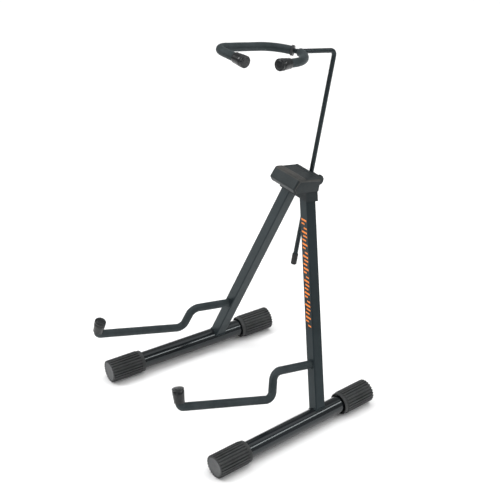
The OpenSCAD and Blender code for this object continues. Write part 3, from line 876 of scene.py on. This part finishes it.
def leg_foot_outline():
    """Where the outside of the right leg's square tube meets its round foot tube."""
    leg, foot = leg_frame(), foot_frame()
    foot_back = foot.inverted()
    half, corner, above = LEG_W / 2, 2.0, 40
    outline = []
    for i in range(4):
        middle = math.radians(90 * i + 45)
        cx = (half - corner) * math.copysign(1, math.cos(middle))
        cy = (half - corner) * math.copysign(1, math.sin(middle))
        for k in range(4):
            a = math.radians(90 * i + 30 * k)
            outline.append((cx + corner * math.cos(a), cy + corner * math.sin(a)))
    points = []
    grow = 0.4
    for x, y in outline:
        start = foot_back @ (leg @ (Vector((x, y, -LEG_LEN + above)) * MM))
        way = (foot_back.to_3x3() @ (leg.to_3x3() @ Vector((0, 0, -1)))).normalized()
        a = way.x ** 2 + way.z ** 2
        b = 2 * (start.x * way.x + start.z * way.z)
        c = start.x ** 2 + start.z ** 2 - ((FOOT_R + grow) * MM) ** 2
        t = (-b - math.sqrt(max(b * b - 4 * a * c, 0))) / (2 * a)
        points.append(foot @ (start + way * t))
    return points


def circle_points(place, radius, count=28):
    return [
        place @ (Vector((radius * math.cos(a), radius * math.sin(a), 0)) * MM) for a in even_angles(count)
    ]


def make_welds():
    tree = weld_tree()
    outline = leg_foot_outline()
    root = circle_points(arm_frame() @ shift(0, 0, 0.3), FOAM_R + 0.3)
    for side, name in ((-1, "left"), (1, "right")):
        flip = Matrix.Diagonal((side, 1, 1))
        weld(name + "_foot_weld", [flip @ p for p in outline], tree, 1.7, name + "_leg", SATIN)
        weld(name + "_arm_weld", [flip @ p for p in root], tree, 1.2, name + "_leg", SATIN)
    branch = circle_points(short_frame() @ shift(0, 0, 3.6), ROD_R + 0.2, 20)
    weld("yoke_weld", branch, tree, 1.1, "neck", ROD_COAT)


# ---------------------------------------------------------------- hinge cover

def cover_profile(inward):
    """Side outline of the cover in Y and Z from its front lip over the top to its back, moved inwards."""
    corners = [
        (LIP_BACK - COVER_FRONT, COVER_LOW, 0.0), (-COVER_FRONT, VISOR_LOW, LIP_ROUND),
        (VISOR_LEAN - COVER_FRONT, COVER_TOP, RIDGE_ROUND), (COVER_BACK, COVER_TOP, 0.0),
    ]
    normals = []
    for (y0, z0, _), (y1, z1, _) in zip(corners, corners[1:]):
        along = Vector((y1 - y0, z1 - z0)).normalized()
        normals.append(Vector((along.y, -along.x)))
    points = []
    for k in (1, 2):
        corner = Vector(corners[k][:2])
        before, after = normals[k - 1], normals[k]
        share = corners[k][2] / (1 + before.dot(after))
        centre = corner + (before + after) * share
        left = max(corners[k][2] - inward, 0.02)
        for i in range(9):
            way = (before * (8 - i) + after * i).normalized()
            points.append(centre - way * left)
    first = Vector((points[0].x + (points[0].y - COVER_LOW) * normals[0].y / normals[0].x, COVER_LOW))
    return [first] + points, COVER_TOP - inward


def ramp(t):
    """Smooth step from 0 to 1."""
    t = min(max(t, 0.0), 1.0)
    return t * t * (3 - 2 * t)


def dish_depth(x, y, half):
    """How far the top lies below its front ridge: a step, and a dished panel with round corners."""
    step = 0.55 * ramp((y + 22.0) / 1.6) * (1 - ramp((y - 9.6) / 1.4))
    dish, middle, wide, deep, corner = 0.7, -6.4, half - 5.0, 13.4, 4.5
    across = max(abs(x) - wide + corner, 0.0)
    back = max(abs(y - middle) - deep + corner, 0.0)
    return step + dish * ramp(corner - math.hypot(across, back))


def raised_edge(sign, half):
    """Raised border on one side of the cover, along its slanted front and its top."""
    from_edge, to_edge, end = 2.6, 6.8, COVER_BACK - 0.6
    outer, top = cover_profile(from_edge)
    inner, inner_top = cover_profile(to_edge)
    outer = outer + [Vector((end, top))]
    inner = inner + [Vector((end, inner_top))]
    bm = bmesh.new()
    rings = []
    section = [(0.0, -0.5), (0.0, 0.4), (0.16, 0.8), (0.38, 0.95)]
    section += [(1 - part, lift) for part, lift in reversed(section)]
    for a, b in zip(outer, inner):
        rings.append([
            bm.verts.new(Vector((sign * (half + lift), *(a.lerp(b, part)))) * MM) for part, lift in section
        ])
    for low, high in zip(rings, rings[1:]):
        for k in range(len(section)):
            n = (k + 1) % len(section)
            bm.faces.new((low[k], low[n], high[n], high[k]))
    bm.faces.new(rings[0])
    bm.faces.new(rings[-1])
    # The raised border takes the lighter plastic as a painted highlight.
    for face in bm.faces:
        face.material_index = 1
    bmesh.ops.recalc_face_normals(bm, faces=bm.faces)
    return bm


def make_cover():
    """Moulded cover: slanted visor rolled into a ridge, dished top and raised borders on its sides."""
    half = COVER_W / 2 - 1.0
    pitch, cuts, turns = 0.5, 84, 6
    flat = int((half - SIDE_ROUND) / pitch)
    spots = [(-half, SIDE_ROUND)]
    for i in range(1, turns + 1):
        t = math.radians(90 * (turns - i) / turns)
        x = -half + SIDE_ROUND * (1 - math.sin(t))
        spots.append((round(x, 4), round(SIDE_ROUND * (1 - math.cos(t)), 4)))
    rounded = [(-x, d) for x, d in reversed(spots)]
    spots += [(i * pitch, 0.0) for i in range(-flat, flat + 1)] + rounded
    # Faces of the ridge band, which take the lighter plastic as a painted highlight.
    painted_highlight_ridge_faces = range(11, 40)
    bm = bmesh.new()
    rows = []
    for x, inward in spots:
        points, top = cover_profile(inward)
        start = points[-1].x
        line = [(p.x, p.y) for p in points]
        for i in range(1, cuts + 1):
            y = start + (COVER_BACK - start) * i / cuts
            line.append((y, top - dish_depth(x, y, half) * (1 - inward / SIDE_ROUND)))
        line.append((COVER_BACK, COVER_LOW))
        rows.append([bm.verts.new(Vector((x, y, z)) * MM) for y, z in line])
    for low, high in zip(rows, rows[1:]):
        for k in range(len(low) - 2):
            face = bm.faces.new((low[k], low[k + 1], high[k + 1], high[k]))
            face.material_index = 1 if k in painted_highlight_ridge_faces else 0
    bm.faces.new(rows[0])
    bm.faces.new(list(reversed(rows[-1])))
    bmesh.ops.recalc_face_normals(bm, faces=bm.faces)
    cover = make_object("hinge_cover", bm, COVER_PLASTIC, PAINTED_HIGHLIGHT_PLASTIC)
    wall = cover.modifiers.new("wall", "SOLIDIFY")
    wall.thickness = COVER_WALL * MM
    wall.offset = -1.0
    baked(cover)
    joined = bmesh.new()
    joined.from_mesh(cover.data)
    for sign in (-1, 1):
        edge = bpy.data.meshes.new("edge")
        made = raised_edge(sign, half)
        made.to_mesh(edge)
        made.free()
        joined.from_mesh(edge)
        bpy.data.meshes.remove(edge)
    joined.to_mesh(cover.data)
    joined.free()
    cover.data.transform(HINGE)
    smooth(cover, 32)
    hand_over(cover, "housing", "housing_plastic", "housing_cover")


# ---------------------------------------------------------------- printed bars

def make_print():
    """Thin slanted orange strokes down the front of the right leg, long and short ones in turn."""
    leg = leg_frame()
    bm = bmesh.new()
    ink, buried = 0.06, 0.04
    front_y, back_y = -LEG_W / 2 - ink, -LEG_W / 2 + buried
    top, bottom, count = -53.0, -241.0, 27
    pitch = (top - bottom) / count
    edge, slant = 6.2, 0.34
    spans = [(-edge, edge), (-edge, 1.0), (-1.0, edge), (-edge, edge), (-3.4, edge), (-edge, 3.4)]
    for i in range(count):
        z = top - i * pitch
        low, high = spans[i % len(spans)]
        tall = 3.1 if high - low > 2 * edge - 0.1 else 2.5
        corners = [
            (low, z - slant * low), (high, z - slant * high), (high, z - slant * high - tall),
            (low, z - slant * low - tall),
        ]
        front = [bm.verts.new(leg @ (Vector((x, front_y, h)) * MM)) for x, h in corners]
        back = [bm.verts.new(leg @ (Vector((x, back_y, h)) * MM)) for x, h in corners]
        bm.faces.new(front)
        bm.faces.new(list(reversed(back)))
        for k in range(4):
            n = (k + 1) % 4
            bm.faces.new((front[n], front[k], back[k], back[n]))
    bmesh.ops.recalc_face_normals(bm, faces=bm.faces)
    bars = make_object("leg_printed_bars", bm, INK)
    hand_over(bars, "right_leg", "steel_black")


# ---------------------------------------------------------------- stage

def make_camera():
    azimuth, elevation, roll = math.radians(53.97), math.radians(29.83), math.radians(-0.1)
    level = math.cos(elevation)
    ahead = Vector((-math.sin(azimuth) * level, math.cos(azimuth) * level, -math.sin(elevation)))
    data = bpy.data.cameras.new("camera")
    data.sensor_width = 36.0
    data.lens = 97.04
    data.shift_x = -0.0054
    data.shift_y = 0.0022
    data.clip_start, data.clip_end = 0.05, 60
    camera = bpy.data.objects.new("camera", data)
    bpy.context.scene.collection.objects.link(camera)
    camera.location = (1.6037, -1.1274, 1.4196)
    camera.rotation_mode = "QUATERNION"
    tilt = Matrix.Rotation(-roll, 3, "Z").to_quaternion()
    camera.rotation_quaternion = ahead.to_track_quat("-Z", "Y") @ tilt
    bpy.context.scene.camera = camera


def area_light(name, place, target, size, power, mirrored=True):
    data = bpy.data.lights.new(name, "AREA")
    data.shape = "RECTANGLE"
    data.size, data.size_y = size
    data.energy = power
    light = bpy.data.objects.new(name, data)
    light.location = place
    light.visible_glossy = mirrored
    light.rotation_mode = "QUATERNION"
    light.rotation_quaternion = (Vector(target) - Vector(place)).to_track_quat("-Z", "Y")
    bpy.context.scene.collection.objects.link(light)


def make_stage():
    """Pale floor, even sky and the lamps."""
    bm = bmesh.new()
    bmesh.ops.create_grid(bm, x_segments=1, y_segments=1, size=9)
    material, _, shader, _ = new_material("pale_floor")
    shader.inputs["Base Color"].default_value = (0.93, 0.93, 0.93, 1)
    shader.inputs["Roughness"].default_value = 0.9
    shader.inputs["Specular IOR Level"].default_value = 0.1
    floor = make_object("floor", bm, material)
    world = bpy.data.worlds.new("world")
    bpy.context.scene.world = world
    world.use_nodes = True
    world.node_tree.nodes["Background"].inputs["Color"].default_value = (1, 1, 1, 1)
    world.node_tree.nodes["Background"].inputs["Strength"].default_value = 0.36
    area_light("key", (-1.4, -2.0, 2.6), (0, 0, 0.25), (1.4, 1.4), 50)
    area_light("top", (-0.2, 0.5, 4.2), (-0.1, 0.3, 0.0), (4.0, 4.0), 115, mirrored=False)
    area_light("top_sheen", (-0.2, 0.5, 4.1), (-0.1, 0.3, 0.0), (4.0, 4.0), 38)
    area_light("front", (1.6, -2.6, 1.2), (0, 0, 0.3), (0.5, 1.4), 8)
    area_light("strip", (1.75, 1.5, 2.0), (0, 0, 0.05), (2.2, 0.40), 23)
    bpy.context.scene.view_settings.view_transform = "Standard"


make_camera()
finish_nodes()
make_foot_caps()
make_arms()
make_yoke()
make_cover()
make_welds()
make_print()
make_stage()
